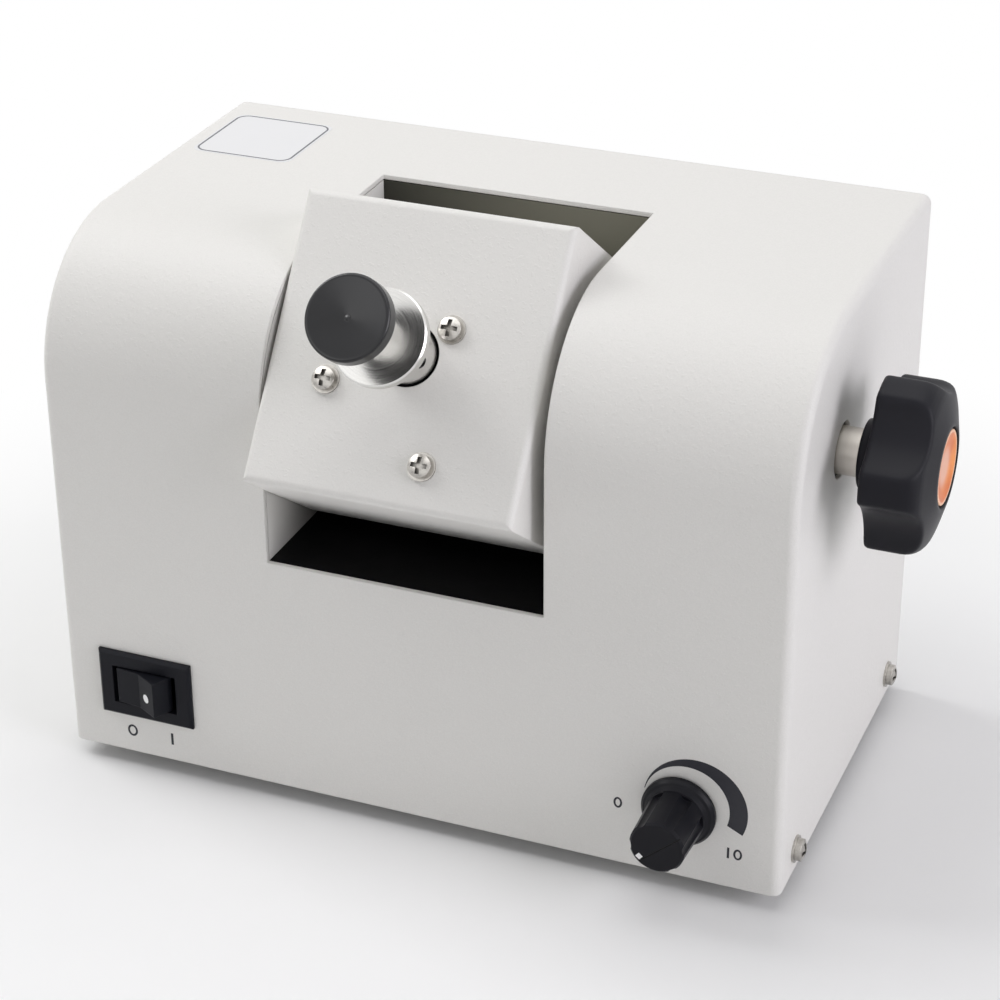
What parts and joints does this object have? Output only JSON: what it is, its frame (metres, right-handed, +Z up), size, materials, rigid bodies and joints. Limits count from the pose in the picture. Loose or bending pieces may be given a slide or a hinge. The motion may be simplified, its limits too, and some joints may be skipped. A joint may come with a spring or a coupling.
{
  "type": "tube rotator",
  "caption": "Bench tube rotator: sheet-metal cabinet with a tilting motor head, a turning spindle for a tube holder, a lobed clamp knob, a rocker switch and a speed dial.",
  "frame": {"origin": "on the bench under the middle of the whole part's bounding box, with the head at rest", "axes": "+X to the clamp knob's side, +Y to the rear panel, +Z up; the controls and the spindle face -Y"},
  "size_m": [0.2293, 0.1478, 0.1649],
  "materials": {
    "paint_white": "satin powder coat",
    "paint_head": "satin powder coat",
    "paint_black": "matt",
    "zinc": "zinc plated",
    "stainless": "brushed",
    "turned_steel": "turned and polished",
    "screw_steel": "plated",
    "black_oxide": "black oxide",
    "aluminium": "milled",
    "cast_zinc": "die cast",
    "bearing_bronze": "sintered",
    "brass": "turned",
    "rubber": "matt",
    "black_plastic": "satin",
    "black_gloss": "glossy",
    "orange_plastic": "satin",
    "bush_plastic": "smooth",
    "gear_plastic": "smooth",
    "fibre": "fibre",
    "board_green": "solder mask",
    "terminal_green": "satin",
    "capacitor_sleeve": "shrink sleeve",
    "transformer_iron": "laminated",
    "copper": "enamelled wire",
    "ferrite": "sintered"
  },
  "bodies": {
    "cabinet": {"cover": "paint_white", "base_plate": "zinc", "well_bracket": "paint_white", "well_floor": "paint_black", "feet": "rubber", "foot_screws": "screw_steel", "cover_screws": "screw_steel", "cover_washers": "screw_steel", "bracket_screws": "screw_steel", "mains_inlet": "black_plastic", "inlet_pins": "brass", "inlet_screws": "screw_steel", "switch_body": "black_plastic", "switch_terminals": "brass", "speed_pot": "cast_zinc", "pot_nut": "screw_steel", "control_board": "board_green", "board_standoffs": "brass", "board_screws": "screw_steel", "transformer": "transformer_iron", "capacitors": "capacitor_sleeve", "heat_sink": "aluminium", "terminal_blocks": "terminal_green", "lead_grommet": "rubber", "pivot_bush": "bush_plastic", "friction_washer": "fibre", "thrust_washer": "zinc", "clamp_spacer": "stainless"},
    "head": {"head_cover": "paint_head", "pivot_bolt": "zinc", "pivot_nut": "zinc", "tilt_stud": "zinc", "face_screws": "screw_steel", "face_washers": "screw_steel", "gearbox_front": "cast_zinc", "gearbox_ring": "cast_zinc", "gearbox_rear": "cast_zinc", "gearbox_screws": "screw_steel", "gear_pins": "turned_steel", "output_bush": "bearing_bronze", "motor_magnets": "ferrite", "motor_can": "zinc"},
    "rocker": {"rocker": "black_plastic"},
    "speed_control": {"pot_shaft": "aluminium", "speed_knob": "black_plastic"},
    "clamp": {"clamp_knob": "black_plastic", "clamp_insert": "brass", "clamp_badge": "orange_plastic"},
    "motor": {"motor_rotor": "copper", "motor_shaft": "turned_steel", "motor_pinion": "brass"},
    "idler_a": {"idler_gear_a": "gear_plastic"},
    "idler_b": {"idler_gear_b": "gear_plastic"},
    "spindle": {"output_shaft": "turned_steel", "output_gear": "brass", "spindle_hub": "turned_steel", "set_screws": "black_oxide", "cap_stud": "turned_steel"},
    "cap": {"spindle_cap": "black_gloss"}
  },
  "joints": [
    {"name": "head_tilt", "type": "hinge", "parent": "cabinet", "child": "head", "pos_m": [-0.01225, -0.00686, 0.1127], "axis": [1, 0, 0], "range_deg": [-54, 35]},
    {"name": "clamp_turn", "type": "hinge", "parent": "head", "child": "clamp", "pos_m": [0.09415, -0.00686, 0.1127], "axis": [1, 0, 0], "range_deg": [0, 270]},
    {"name": "motor_spin", "type": "hinge", "parent": "head", "child": "motor", "pos_m": [-0.01335, -0.03656, 0.12271], "axis": [0, 0.8141, -0.5807], "continuous": true},
    {"name": "idler_a_spin", "type": "hinge", "parent": "head", "child": "idler_a", "pos_m": [-0.0071, -0.04251, 0.11437], "axis": [0, 0.8141, -0.5807], "continuous": true},
    {"name": "idler_b_spin", "type": "hinge", "parent": "head", "child": "idler_b", "pos_m": [-0.00135, -0.03639, 0.12295], "axis": [0, 0.8141, -0.5807], "continuous": true},
    {"name": "spindle_spin", "type": "hinge", "parent": "head", "child": "spindle", "pos_m": [-0.01335, -0.03458, 0.13272], "axis": [0, 0.8141, -0.5807], "continuous": true},
    {"name": "cap_turn", "type": "hinge", "parent": "spindle", "child": "cap", "pos_m": [-0.01335, -0.06291, 0.15293], "axis": [0, -0.8141, 0.5807], "range_deg": [0, 360]},
    {"name": "speed_turn", "type": "hinge", "parent": "cabinet", "child": "speed_control", "pos_m": [0.06175, -0.04356, 0.025], "axis": [0, 1, 0], "range_deg": [-27, 273]},
    {"name": "rocker_press", "type": "hinge", "parent": "cabinet", "child": "rocker", "pos_m": [-0.08775, -0.04286, 0.0265], "axis": [0, 0, 1], "range_deg": [0, 36]}
  ],
  "couplings": [
    {"joint": "idler_a_spin", "follows": "motor_spin", "ratio": -0.33333},
    {"joint": "idler_b_spin", "follows": "motor_spin", "ratio": 0.11111},
    {"joint": "spindle_spin", "follows": "motor_spin", "ratio": -0.027778}
  ]
}
